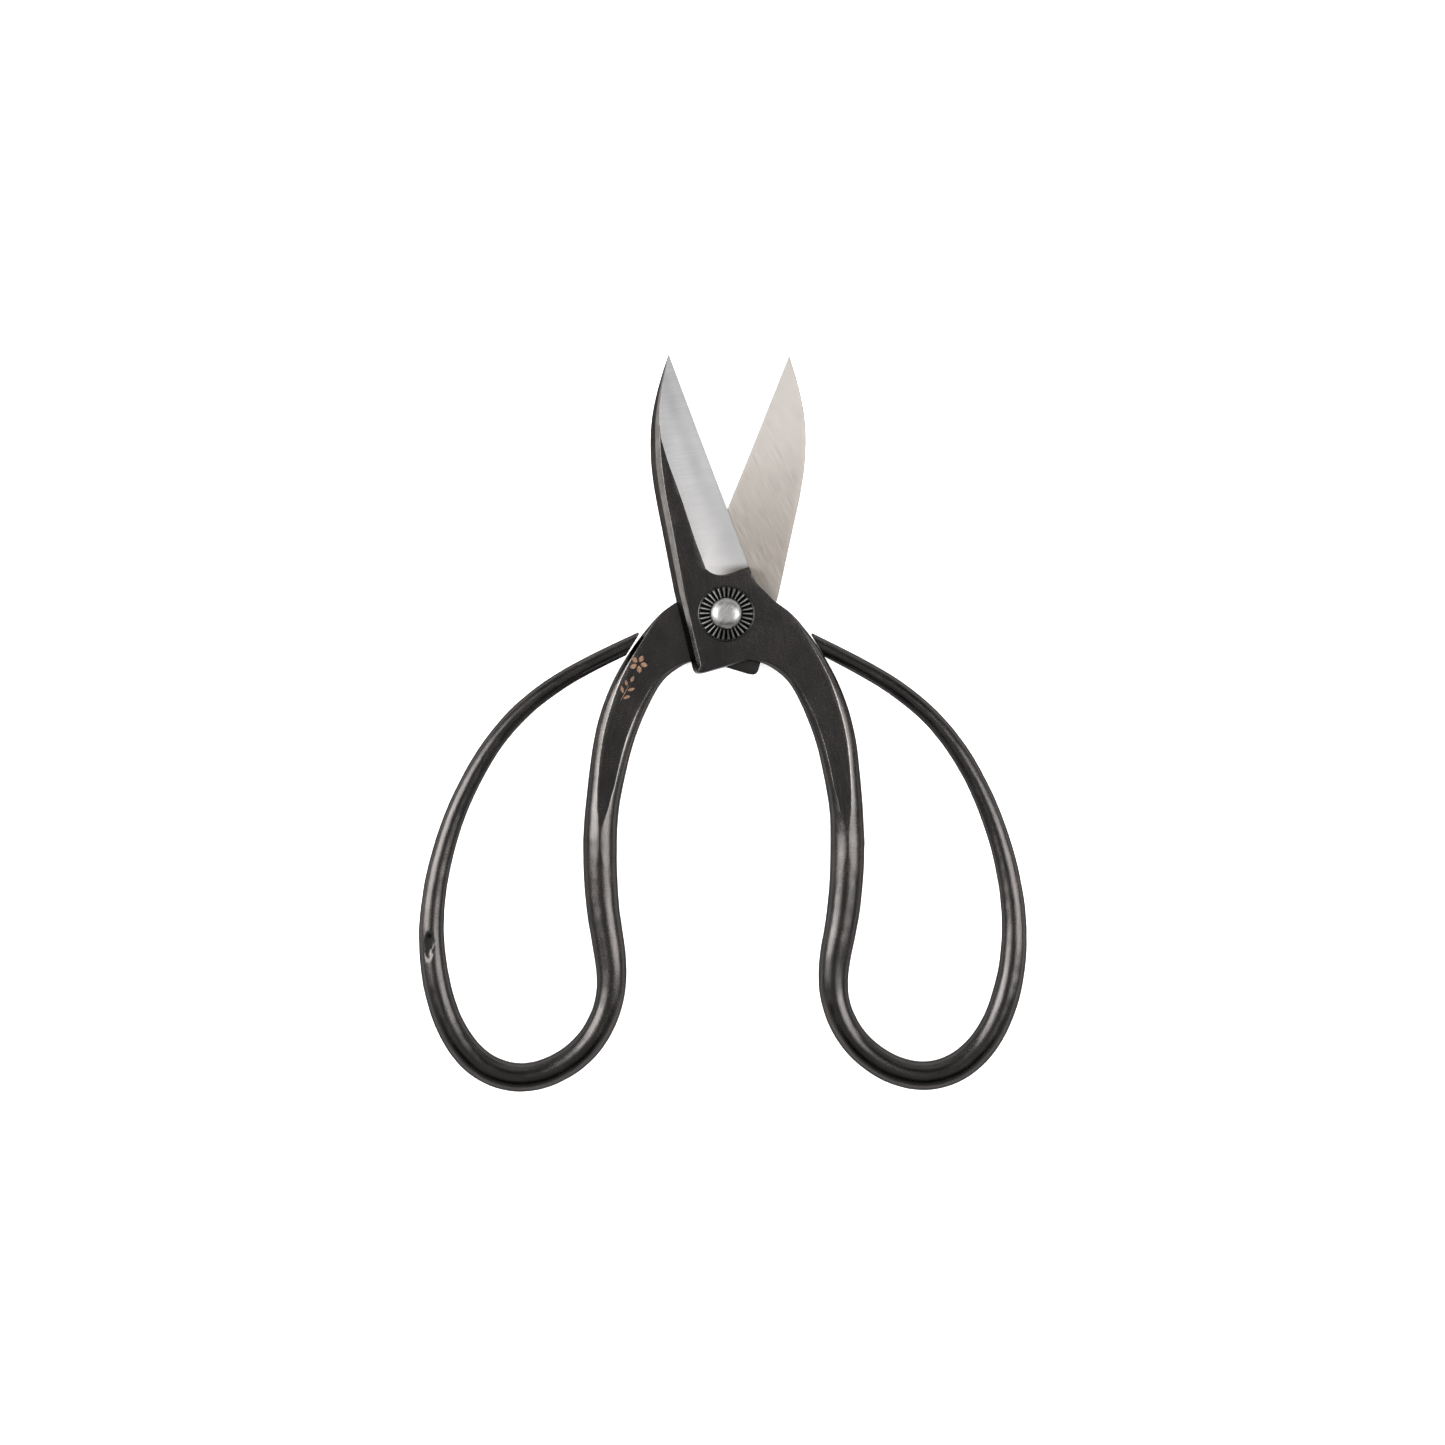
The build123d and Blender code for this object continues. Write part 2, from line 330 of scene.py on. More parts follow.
# ---------------------------------------------------------------- rings of a half
def blade_ring(edge, spine, edge_in, spine_in, past_notch, past_heel):
    """One ring across the blade or the neck, from the cutting edge's side round to the spine's."""
    width = np.hypot(*(edge - spine))
    top = float(np.interp(spine[1], TAPER_Y, TAPER_Z)) + INNER_Z
    ground = (EDGE_LAND + BEVEL_RISE * width) / (1 + BEVEL_RISE * CHAMFER_INSET / HALF_THICKNESS)
    size = min(1.0, ground / HALF_THICKNESS) if spine[1] > SHRINK_START else 1.0
    low = INNER_Z
    high = min(top, ground + CROWN_LIFT)
    lean = WALL_LEAN * size * (1 - HEEL_LEAN_LOSS * past_heel)
    knee_z = low + WALL_TOP * size
    knee_z -= float(np.interp(spine[1], DROP_Y, DROP)) * size * (1 - past_heel)
    chamfer = (CHAMFER_INSET - WALL_LEAN) * size * (1 - HEEL_CHAMFER_LOSS * past_heel)
    crown_in = lean + chamfer * (high - knee_z) / max(CHAMFER_RISE * size, 1e-3)
    fit = min(1.0, 0.6 * width / max(crown_in, 1e-6))
    widest = 0.1 * width  # the most that a rounding takes of a narrow ring
    spine_side = walled_side(
        (0, low), (lean * fit, knee_z), (crown_in * fit, high),
        min(FOOT_ROUND, widest), min(CORNER_ROUND, widest),
    )
    edge_side = walled_side(
        (0, low), (0.0, (low + high) / 2), (0, high),
        min(EDGE_ROUND + 0.1 * past_notch, widest), min(EDGE_ROUND + 0.3 * past_notch, widest),
    )
    return place_ring(edge_side, spine_side, edge, spine, edge_in, spine_in)


def bar_ring(edge, spine, section, corners, rounding):
    """One ring across the shank or the bow."""
    across = (spine - edge) / np.hypot(*(spine - edge))
    sides = [section.side(i, corners[i], rounding) for i in (0, 1)]
    return place_ring(sides[0], sides[1], edge, spine, across, -across, section)


def place_ring(edge_side, spine_side, edge, spine, edge_in, spine_in, section=None):
    """A closed ring of points from its two sides, with the flats between them filled in."""
    up = np.c_[edge + edge_side[:, :1] * edge_in, edge_side[:, 1]]
    down = np.c_[spine + spine_side[::-1, :1] * spine_in, spine_side[::-1, 1]]
    share = (np.arange(FLAT_POINTS) + 1)[:, None] / (FLAT_POINTS + 1)
    over = up[-1] + (down[0] - up[-1]) * share
    under = down[-1] + (up[0] - down[-1]) * share
    if section:
        for row, sign in ((over, 1), (under, -1)):
            for point in row:
                inset = np.hypot(*(point[:2] - edge))
                point[2] = section.middle + sign * section.height(inset, 0)
    return np.vstack([up, over, down, under])


def shank_section(y, half_width):
    """The shank's section, which opens from flat on both faces to the round bar of the bow."""
    open_share = np.clip((y - FLATS_START) / (FLATS_END - FLATS_START), 0, 1)
    high = OUTER_Z + (BAR_RADIUS - OUTER_Z) * open_share
    low = INNER_Z + (-BAR_RADIUS - INNER_Z) * smoothstep(0, 1, open_share)
    outer = np.interp(y, SHOULDER_Y, SHOULDER_OUTER)
    inner = np.interp(y, SHOULDER_Y, SHOULDER_INNER)
    fullness = [radians(np.interp(y, SHOULDER_Y, side)) for side in (FULLNESS_OUTER, FULLNESS_INNER)]
    return BarSection(half_width, outer, inner, low, high, fullness)


def forging_rings():
    """The rings of the blade, the neck and the shank, from the tip down."""
    lengths = matched_lengths()
    edges, spines = edge_rail.at(lengths[:, 0]), spine_rail.at(lengths[:, 1])
    edge_ins, spine_ins = edge_rail.inward(lengths[:, 0]), spine_rail.inward(lengths[:, 1])
    notch_at, heel_at = edge_rail.find(NOTCH), spine_rail.find(HEEL_ARC[1])
    crotch_at, neck_at = spine_rail.find(CROTCH), spine_rail.find(SHANK_PAIRS[0][1])
    rings = []
    for i, (edge_length, spine_length) in enumerate(lengths):
        edge, spine = edges[i], spines[i]
        past_notch = smoothstep(notch_at - 0.5, notch_at + 1.5, edge_length)
        past_heel = smoothstep(heel_at - 1.5, heel_at + 2.5, spine_length)
        share = smoothstep(crotch_at - 1.0, neck_at, spine_length)
        ring = 0
        if share < 1:
            ring = (1 - share) * blade_ring(
                edge, spine, edge_ins[i], spine_ins[i], past_notch, past_heel
            )
        if share > 0:
            y = (edge[1] + spine[1]) / 2
            section = shank_section(y, np.hypot(*(edge - spine)) / 2)
            ring = ring + share * bar_ring(edge, spine, section, section.shoulders, CORNER_ROUND)
        rings.append(ring)
    return rings


def bow_rings(bow_drop):
    """The bow's rings, from the shank to the free end."""
    route = through(BOW_LEAD_IN, *BOW_ROUTE)
    route[:, 1] -= bow_drop * smoothstep(BEND_START, BEND_END, route[:, 1])
    route = route[int(np.argmax(route[:, 1] <= BOW_ROUTE[0][1])) :]
    middle_line = Rail(True, route)
    along = middle_line.along
    stops = np.arange(RING_STEP, along[-1], RING_STEP)
    outwards = middle_line.inward(stops, reach=0.3)
    rings = []
    for stop, middle, outward in zip(stops, middle_line.at(stops), outwards):
        ahead = np.array([outward[1], -outward[0]])
        radius = float(np.interp(stop / along[-1], BOW_FRACTIONS, BOW_RADII))
        tall = BAR_RADIUS + (radius - BAR_RADIUS) * smoothstep(0, ROUND_RUN, stop)
        fullness = radians(FULLNESS_OUTER[0] + (90 - FULLNESS_OUTER[0]) * smoothstep(0, FULL_RUN, stop))
        section = BarSection(radius, radius, radius, -tall, tall, (fullness, fullness))
        corner = radius * (1 - CORNER_SHIFT * smoothstep(0, CORNER_RUN, stop))
        ring = bar_ring(
            middle + outward * radius, middle - outward * radius, section, (corner, corner), FOOT_ROUND
        )
        to_end = along[-1] - stop
        if to_end < END_SHEAR_RUN:
            offset = (ring[:, :2] - middle) @ outward
            shift = np.minimum(-offset / tan(END_SLANT), END_REACH) * (1 - to_end / END_SHEAR_RUN)
            ring[:, :2] += shift[:, None] * ahead
        rings.append(ring)
    return rings


# Places in a ring, which starts at the inner face's corner on the cutting edge's side.
SIDE_POINTS = 17
EDGE_CREASES, SPINE_CREASES = (2, 14), (26, 38)
KNEE = 32
CHAMFER = range(27, 32)
LOW_POINTS = [*range(4), *range(38, 48)]
UNDER_FACES = range(40, 48)
EDGE_WALL_FACES = range(16)

# Which part of the bar a ring is on, by the y of its middle.
CREASE_FADE = (-51.5, -43)  # the bow's round bar below, the shank's corners above
# Where the creases' lighter colour, from rubbing and a painted highlight, grows on the shank.
SHANK_WEAR_AND_HIGHLIGHT = (-8, -13)
CHAMFER_WEAR = (-13.5, -10)
BAR_WAVES = (-12, -50)
BOW_FROM_X = 33  # rings beyond this x are on the bow, whatever their y
INNER_RUN_ON = 12  # rings that the ground inner face goes on past the crotch
# How the creases' lighter colour, from rubbing and a painted highlight, spreads to the points beside each
# crease.
CORNER_WEAR_AND_HIGHLIGHT = ((-2, 0.15), (-1, 0.6), (0, 1), (1, 0.6), (2, 0.15))  # (points away, share)
FLAT_WAVE, BAR_WAVE = 0.015, 0.055  # depths
LONG_WAVE, SHORT_WAVE = 7, 2.6

BLACK, GROUND, INNER, ENGRAVED = range(4)


def ring_faces(ring_count, ring_size, hollow=False):
    """Quads between rings. A hollow piece's last ring joins its first; others get end faces."""
    indices = np.arange(ring_count * ring_size).reshape(ring_count, ring_size)
    if hollow:
        indices = np.vstack([indices, indices[:1]])
    following = np.roll(indices, -1, axis=1)
    quads = np.stack([indices[:-1], following[:-1], following[1:], indices[1:]], axis=-1)
    faces = [tuple(quad) for quad in quads.reshape(-1, 4).tolist()]
    if not hollow:
        faces += [tuple(indices[0][::-1].tolist()), tuple(indices[-1].tolist())]
    return faces


def write_uv(mesh, layer, first, second):
    """A UV layer that holds two numbers of each of the mesh's points."""
    loop_points = np.zeros(len(mesh.loops), np.int32)
    mesh.loops.foreach_get("vertex_index", loop_points)
    values = np.c_[first.ravel(), second.ravel()][loop_points].astype(np.float32)
    mesh.uv_layers.new(name=layer).data.foreach_set("uv", values.ravel())


def face_outwards(mesh):
    """Turns the faces of a closed mesh so that all of them look outwards."""
    bm = bmesh.new()
    bm.from_mesh(mesh)
    bmesh.ops.recalc_face_normals(bm, faces=bm.faces)
    bm.to_mesh(mesh)
    bm.free()


def half_mesh(name, seed, rear):
    """The half's skin: rings joined by quads, with forging waves and two layers for its paint."""
    rings = np.array(forging_rings() + bow_rings(REAR_BOW_DROP if rear else FRONT_BOW_DROP))
    ring_count, ring_size = rings.shape[:2]
    points = rings.reshape(-1, 3)
    mesh = bpy.data.meshes.new(name)
    mesh.from_pydata(points.tolist(), [], ring_faces(ring_count, ring_size))

    # Material by face: the inner face and the cutting edge's side are ground.
    centre_y = rings[:, :, 1].mean(axis=1)
    on_bow = rings[:, 0, 0] > BOW_FROM_X
    kinds = np.zeros((ring_count - 1, ring_size), int)
    crotch_ring = int(np.argmin(np.hypot(*(rings[:, SPINE_CREASES[0], :2] - CROTCH).T)))
    notch_ring = int(np.argmin(np.hypot(*(rings[:, EDGE_CREASES[1], :2] - EDGE_HEEL).T)))
    kinds[: crotch_ring + INNER_RUN_ON, UNDER_FACES] = INNER
    kinds[:notch_ring, EDGE_WALL_FACES] = GROUND
    mesh.polygons.foreach_set("material_index", np.r_[kinds.ravel(), BLACK, BLACK].astype(np.int32))

    # flow: how far round and along the bar, in centimetres. The second layer: corners lightened by
    # rubbing, which also paints their highlight, the rubbing on the spine's chamfer, and a painted dark
    # line of shade along the knee.
    step = np.linalg.norm(np.diff(rings.mean(axis=1), axis=0), axis=1)
    along = np.repeat(np.r_[0, np.cumsum(step)][:, None], ring_size, axis=1)
    around = np.cumsum(np.linalg.norm(rings - np.roll(rings, 1, axis=1), axis=2), axis=1)
    creased = smoothstep(*CREASE_FADE, centre_y)
    creased[on_bow] = 0
    # Lighter corners along the creases, from real rubbing and a painted highlight; the spine's chamfer is
    # lighter from rubbing.
    rubbed_and_highlight = np.zeros((ring_count, ring_size))
    on_shank = smoothstep(*SHANK_WEAR_AND_HIGHLIGHT, centre_y)
    for crease in EDGE_CREASES + SPINE_CREASES:
        wear_and_highlight = creased * (0.35 * on_shank if crease in SPINE_CREASES else 0.25 + 0.3 * on_shank)
        for offset, amount in CORNER_WEAR_AND_HIGHLIGHT:
            rubbed_and_highlight[:, crease + offset] = amount * wear_and_highlight
    on_spine = smoothstep(*CHAMFER_WEAR, rings[:, KNEE, 1]) * (np.arange(ring_count) < crotch_ring)
    rubbed_and_highlight[:, CHAMFER] = 0.32 * on_spine[:, None]
    # A painted dark line of shade along the knee crease, on the blade.
    knee_shade = np.zeros((ring_count, ring_size))
    knee_shade[:crotch_ring, KNEE] = 1
    write_uv(mesh, "flow", around / 10, along / 10)
    write_uv(mesh, "wear_and_painted_light", rubbed_and_highlight, knee_shade)

    # Forging waves on the bar, none on the ground faces.
    normals = np.zeros(len(points) * 3, np.float32)
    mesh.vertex_normals.foreach_get("vector", normals)
    normals = normals.reshape(-1, 3)
    bar = smoothstep(*BAR_WAVES, centre_y)
    bar[on_bow] = 1
    depth = np.repeat((FLAT_WAVE + BAR_WAVE * bar)[:, None], ring_size, axis=1)
    depth[:, LOW_POINTS] *= bar[:, None]
    depth[:crotch_ring, :SIDE_POINTS] = 0
    depth = depth.ravel()
    offset = Vector(seed)
    moved = points.copy()
    for i in range(len(points)):
        place = Vector(points[i])
        wave = noise.noise(place / LONG_WAVE + offset) + 0.5 * noise.noise(place / SHORT_WAVE - offset)
        moved[i] += normals[i] * depth[i] * wave
    if rear:
        gap = points - DIMPLE
        near = np.clip(1 - (gap[:, 0] / DIMPLE_SIZE[0]) ** 2 - (gap[:, 1] / DIMPLE_SIZE[1]) ** 2, 0, 1)
        near *= np.abs(gap[:, 2]) < DIMPLE_REACH
        push = np.maximum(DIMPLE_FLOOR - moved[:, 2], 0)
        moved[:, 2] += push * np.minimum(1, DIMPLE_STEEPNESS * near)
    mesh.vertices.foreach_set("co", moved.astype(np.float32).ravel())
    return mesh


# ---------------------------------------------------------------- cutters
# The bevel's foot, on the outer face: an arc below the blade, then up the spine's side.
GRIND_LINE = [
    (14.0, 10.6), (4.2, 9.7), (1.2, 8.9), (-1.5, 8.65), (-3.3, 9.15), (-5.0, 10.5), (-6.35, 12.7),
]
GRIND_SIDE = (-7.5, 15.0)
GRIND_SIDE_END, GRIND_SPINE = (-8.35, 17.15), (-8.37, 17.2)
GRIND_RIGHT, GRIND_TOP = 14.0, 68.0
GRIND_DRAFT = tan(radians(13))
CUTTER_LOW, CUTTER_HIGH = -1.0, 6.0
BORE_TURNS = 64
ENGRAVING_DEPTH = 0.1


def prism(bm, outlines, low, high, material):
    """A closed prism between a lower and an upper outline, with a height for each lower point."""
    lower = [bm.verts.new((x, y, z)) for (x, y), z in zip(outlines[0], low)]
    upper = [bm.verts.new((x, y, high)) for x, y in outlines[1]]
    faces = [bm.faces.new(lower), bm.faces.new(upper[::-1])]
    count = len(lower)
    for i in range(count):
        k = (i + 1) % count
        faces.append(bm.faces.new((lower[i], upper[i], upper[k], lower[k])))
    for face in faces:
        face.material_index = material


def grinding_cutter(bm):
    """What the wheel takes off above the bevel, ending in a steep rounded wall by the rivet."""
    spine_way = np.array([-cos(EDGE_ANGLE), -sin(EDGE_ANGLE)])
    rise = GRIND_TOP - GRIND_SIDE[1]
    corner = (GRIND_SIDE[0] - 0.1 - rise * tan(EDGE_ANGLE), GRIND_TOP)
    outline = np.vstack([
        through(*GRIND_LINE, GRIND_SIDE, GRIND_SIDE_END, step=0.5),
        straight(GRIND_SPINE, corner, (GRIND_RIGHT, GRIND_TOP), step=4.0)[1:],
    ])
    heading = np.roll(outline, -1, axis=0) - np.roll(outline, 1, axis=0)
    heading /= np.hypot(*heading.T)[:, None]
    inward = np.c_[heading[:, 1], -heading[:, 0]]
    distance = (outline - TIP) @ spine_way
    slide = BEVEL_RISE * GRIND_DRAFT * (inward @ spine_way)
    low = (INNER_Z + EDGE_LAND + BEVEL_RISE * distance + slide * OUTER_Z) / (1 + slide)
    bottom = outline + inward * ((OUTER_Z - low) * GRIND_DRAFT)[:, None]
    top = outline - inward * (CUTTER_HIGH - OUTER_Z) * GRIND_DRAFT
    prism(bm, (bottom, top), low, CUTTER_HIGH, GROUND)


def leaf(stalk_end, angle, length, width):
    """A pointed leaf's outline."""
    share = np.linspace(0, 1, 8)
    half_width = width / 2 * np.sin(pi * share) ** 0.8
    upper = np.c_[share * length, half_width]
    lower = np.c_[share * length, -half_width][1:-1][::-1]
    shape = np.vstack([upper, lower])
    turned = shape @ np.array([[cos(angle), sin(angle)], [-sin(angle), cos(angle)]])
    return turned + stalk_end


def engraving_shapes():
    """A small blossom above a sprig, as outlines on the inner face of the rear half's shank."""
    blossom, sprig = np.array((20.15, -11.7)), np.array((22.95, -17.9))
    lean = radians(118)
    shapes = []
    for petal in range(5):
        angle = lean + petal * 2 * pi / 5
        start = blossom + 0.42 * np.array((cos(angle), sin(angle)))
        shapes.append(leaf(start, angle, 1.75, 1.15))
    way = np.array((cos(lean), sin(lean)))
    side = np.array((-way[1], way[0]))
    for step, turn, length in ((-1.9, 0.75, 1.7), (-0.9, -0.75, 1.9), (0.1, 0.75, 1.8), (1.0, -0.7, 1.5)):
        start = sprig + way * step + side * 0.3 * np.sign(turn)
        shapes.append(leaf(start, lean + turn, length, 0.75))
    shapes.append(leaf(sprig + way * 2.2, lean, 1.6, 0.8))
    shapes.append(leaf(sprig - way * 3.1, lean, 5.0, 0.26))  # the stalk
    return shapes


def cutter_object(engraved):
    """All that is cut from a half: the bevel, the bore and, on the rear half, the motif."""
    bm = bmesh.new()
    grinding_cutter(bm)
    turns = np.arange(BORE_TURNS) * 2 * pi / BORE_TURNS
    bore = np.c_[np.cos(turns), np.sin(turns)] * BORE_RADIUS
    prism(bm, (bore, bore), [CUTTER_LOW] * len(bore), CUTTER_HIGH, BLACK)
    if engraved:
        for shape in engraving_shapes():
            prism(bm, (shape, shape), [CUTTER_LOW] * len(shape), INNER_Z + ENGRAVING_DEPTH, ENGRAVED)
    bmesh.ops.recalc_face_normals(bm, faces=bm.faces)
    mesh = bpy.data.meshes.new("cutter")
    bm.to_mesh(mesh)
    bm.free()
    for layer in ("flow", "wear_and_painted_light"):
        mesh.uv_layers.new(name=layer)
    cutter = bpy.data.objects.new("cutter", mesh)
    scene.collection.objects.link(cutter)
    return cutter


FORGED_SHARP, TURNED_SHARP = radians(32), radians(50)  # creases steeper than these look sharp


def forged_half(name, body, node, seed, rear):
    """One half, ground, bored and put in its place."""
    mesh = half_mesh(name, seed, rear)
    piece = bpy.data.objects.new(name, mesh)
    scene.collection.objects.link(piece)
    cutter = cutter_object(rear)
    materials = (black_oxide, ground_bevel, inner_steel, engraved_tan)
    for part in (mesh, cutter.data):
        for material in materials:
            part.materials.append(material)
    face_outwards(mesh)
    cut = piece.modifiers.new("cut", "BOOLEAN")
    cut.operation, cut.solver, cut.object = "DIFFERENCE", "EXACT", cutter
    bpy.context.view_layer.update()
    cut_piece = piece.evaluated_get(bpy.context.evaluated_depsgraph_get())
    made = bpy.data.meshes.new_from_object(cut_piece)
    piece.modifiers.clear()
    piece.data = made
    bpy.data.objects.remove(cutter)
    made.transform(Matrix.Scale(MM, 4))
    made.shade_smooth()
    made.set_sharp_from_angle(angle=FORGED_SHARP)
    piece.location = PIVOT
    if rear:
        piece.rotation_euler = (0, pi, 0)
    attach(piece, body)
    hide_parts(node)


# ---------------------------------------------------------------- turned pieces
def turned_piece(name, points, material, body, node, wear_and_highlight=None):
    """A piece from rings of points about z; one that comes with a layer for a painted highlight is
    hollow.
    """
    mesh = bpy.data.meshes.new(name)
    faces = ring_faces(*points.shape[:2], hollow=wear_and_highlight is not None)
    mesh.from_pydata((points.reshape(-1, 3) * MM).tolist(), [], faces)
    face_outwards(mesh)
    if wear_and_highlight is not None:
        write_uv(mesh, "wear_and_painted_light", wear_and_highlight, wear_and_highlight)
    mesh.materials.append(material)
    mesh.shade_smooth()
    mesh.set_sharp_from_angle(angle=TURNED_SHARP)
    piece = bpy.data.objects.new(name, mesh)
    scene.collection.objects.link(piece)
    piece.location = PIVOT
    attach(piece, body)
    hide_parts(node)


HEAD_RADIUS, HEAD_HEIGHT, UNDER_HEAD, SHAFT_RADIUS = 3.55, 1.5, 5.78, 2.5
HEAD_LIP = 0.1  # height of the head's straight rim
RIVET_TURNS = 96
WASHER_RADIUS, WASHER_BORE, WASHER_CROWN, WASHER_RIM = 6.5, 2.56, 1.35, 0.42
WASHER_SEAT = OUTER_Z + 0.015
RIBS, POINTS_PER_RIB = 30, 14
RIB_DEPTH = 0.55


def turned_ring(radius, height, turns):
    """A ring of points about z, at one height or at a height for each of its turns."""
    heights = np.broadcast_to(height, turns.shape)
    return np.c_[radius * np.cos(turns), radius * np.sin(turns), heights]


def washer_points(side):
    """The crown washer: ribs run down its cone from the rivet's head to a plain rim."""
    turns = np.arange(RIBS * POINTS_PER_RIB) * 2 * pi / (RIBS * POINTS_PER_RIB)
    ridge = np.abs(np.cos(turns * RIBS / 2)) ** 1.5
    ribbed = np.linspace(3.7, 6.2, 16)
    radii = np.r_[WASHER_BORE, 3.3, HEAD_RADIUS, ribbed, 6.27, 6.38, 6.47, WASHER_RADIUS]
    cone = WASHER_CROWN + (WASHER_RIM - WASHER_CROWN) * smoothstep(3.2, 6.9, radii) ** 0.9
    groove = RIB_DEPTH * smoothstep(3.5, 3.9, radii) * (1 - smoothstep(6.0, 6.24, radii))
    rim_drop = 0.2 * smoothstep(5.9, 6.25, radii) + 0.06 * smoothstep(6.38, WASHER_RADIUS, radii)
    height = (cone - rim_drop)[:, None] - groove[:, None] * (1 - ridge)
    below = ((WASHER_RADIUS, 0.02), (6.46, 0.0), (2.6, 0.0), (WASHER_BORE, 0.04))
    points = np.array([turned_ring(*ring, turns) for ring in (*zip(radii, height), *below)])
    points[..., 2] = side * (points[..., 2] + WASHER_SEAT)
    # A layer that paints a highlight along the ribs' crests.
    wear_and_highlight = np.zeros(points.shape[:2])
    on_ribs = smoothstep(3.6, 4.0, radii) * (1 - smoothstep(5.9, 6.15, radii))
    wear_and_highlight[: len(radii)] = on_ribs[:, None] * ridge
    return points, wear_and_highlight


def rivet_points():
    """The rivet: a peened, slightly uneven dome on each end of its shank."""
    turns = np.arange(RIVET_TURNS) * 2 * pi / RIVET_TURNS
    radii = np.r_[0.05, np.linspace(0.3, 3.3, 16), 3.42, 3.5, 3.545]
    dome = UNDER_HEAD + HEAD_LIP + (HEAD_HEIGHT - HEAD_LIP) * (1 - (radii / 3.56) ** 3.4) ** 0.6
    profile = list(zip(radii, dome))
    profile += [(HEAD_RADIUS, UNDER_HEAD + 0.06), (HEAD_RADIUS - 0.05, UNDER_HEAD)]
    profile += [(SHAFT_RADIUS + 0.06, UNDER_HEAD), (SHAFT_RADIUS, UNDER_HEAD - 0.06)]
    profile += [(r, -z) for r, z in reversed(profile)]
    points = np.array([turned_ring(*ring, turns) for ring in profile])
    heads = np.abs(points[..., 2]) > UNDER_HEAD + 0.05
    for row, column in zip(*np.nonzero(heads)):
        x, y, z = points[row, column]
        wave = noise.noise(Vector((x, y, z)) / 1.3 + Vector((4, 9, 2)))
        # Peening left a small pit and a flat near the bottom of the head.
        dent = 0.16 * np.exp(-((x - 0.7) ** 2 + (y + 2.9) ** 2) / 0.22)
        dent += 0.2 * smoothstep(-2.75, -3.35, y) * smoothstep(1.4, -0.4, x)
        inside = smoothstep(3.6, 2.6, hypot(x, y))
        points[row, column, 2] -= np.sign(z) * (0.03 * (wave + 0.5) * inside + dent)
    return points


# ---------------------------------------------------------------- materials
class Paint:
    """A material's nodes, with short ways to add the ones used here."""

    def __init__(self, name, **sockets):
        self.material = bpy.data.materials.new(name)
        self.material.use_nodes = True
        self.tree = self.material.node_tree
        self.shader = self.tree.nodes["Principled BSDF"]
        for socket, value in sockets.items():
            self.shader.inputs[socket.replace("_", " ")].default_value = value

    def node(self, kind, inputs=(), output=0, **settings):
        """A new node's output; inputs are values or other nodes' outputs, by number or name."""
        node = self.tree.nodes.new("ShaderNode" + kind)
        for setting, value in settings.items():
            setattr(node, setting, value)
        for key, value in dict(inputs).items():
            if isinstance(value, bpy.types.NodeSocket):
                self.tree.links.new(value, node.inputs[key])
            else:
                node.inputs[key].default_value = value
        return node.outputs[output]

    def maths(self, operation, *values, clamp=False):
        return self.node("Math", enumerate(values), operation=operation, use_clamp=clamp)

    def uv(self, layer):
        return self.node("UVMap", uv_map=layer)

    def split(self, vector, axis):
        return self.node("SeparateXYZ", {0: vector}, output=axis)

    def scaled(self, vector, scale, turn=0.0):
        """Coordinates turned about z, in radians, then scaled."""
        turned = self.node("VectorRotate", {"Vector": vector, "Angle": turn}, rotation_type="Z_AXIS")
        return self.node("VectorMath", {0: turned, 1: scale}, operation="MULTIPLY")

    def noise(self, vector, scale=1.0, detail=3.0, roughness=0.5):
        inputs = {"Vector": vector, "Scale": scale, "Detail": detail, "Roughness": roughness}
        return self.node("TexNoise", inputs)

    def ramp(self, value, low, high, to_low=0.0, to_high=1.0):
        """A smooth step from to_low at low to to_high at high."""
        return self.node(
            "MapRange",
            {"Value": value, "From Min": low, "From Max": high, "To Min": to_low, "To Max": to_high},
            interpolation_type="SMOOTHSTEP",
        )

    def mix(self, share, first, second):
        """A colour between two others."""
        node = self.tree.nodes.new("ShaderNodeMix")
        node.data_type = "RGBA"
        for key, value in ((0, share), (6, first), (7, second)):
            if isinstance(value, bpy.types.NodeSocket):
                self.tree.links.new(value, node.inputs[key])
            elif key:
                node.inputs[key].default_value = (*value, 1)
            else:
                node.inputs[key].default_value = value
        return node.outputs[2]

    def blend(self, share, first, second):
        """A number between two others."""
        return self.node("Mix", {0: share, 2: first, 3: second})

    def give(self, socket, value):
        self.tree.links.new(value, self.shader.inputs[socket])

    def bump(self, height, strength, distance, under=None):
        """A bumped normal, on top of another one if there is one under it."""
        inputs = {"Height": height, "Strength": strength, "Distance": distance}
        if under:
            inputs["Normal"] = under
        return self.node("Bump", inputs)

    def place(self):
        """Where a point is in its own piece, in centimetres."""
        own = self.node("TexCoord", output=3)
        return self.node("VectorMath", {0: own, 1: (100.0,) * 3}, operation="MULTIPLY")


BLACK_DARK, BLACK_LIGHT = (0.028, 0.0265, 0.026), (0.051, 0.048, 0.0465)
# Next line: a brown tone, then a painted shade for the dark line along the knee.
BLACK_BROWN, BLACK_KNEE_SHADE = (0.054, 0.046, 0.0435), (0.012, 0.011, 0.011)
# A light colour for the corners, from rubbing and a painted highlight.
RUBBED_AND_HIGHLIGHT = (0.31, 0.293, 0.272)
BLACK_EDGE_TINT = (0.38, 0.38, 0.38, 1)
FORGING_GRAIN = (85.0, 1.6, 1.0)  # fine across the bar, long along it
COARSE_BUMP, FINE_BUMP = 0.0001, 0.00005  # metres


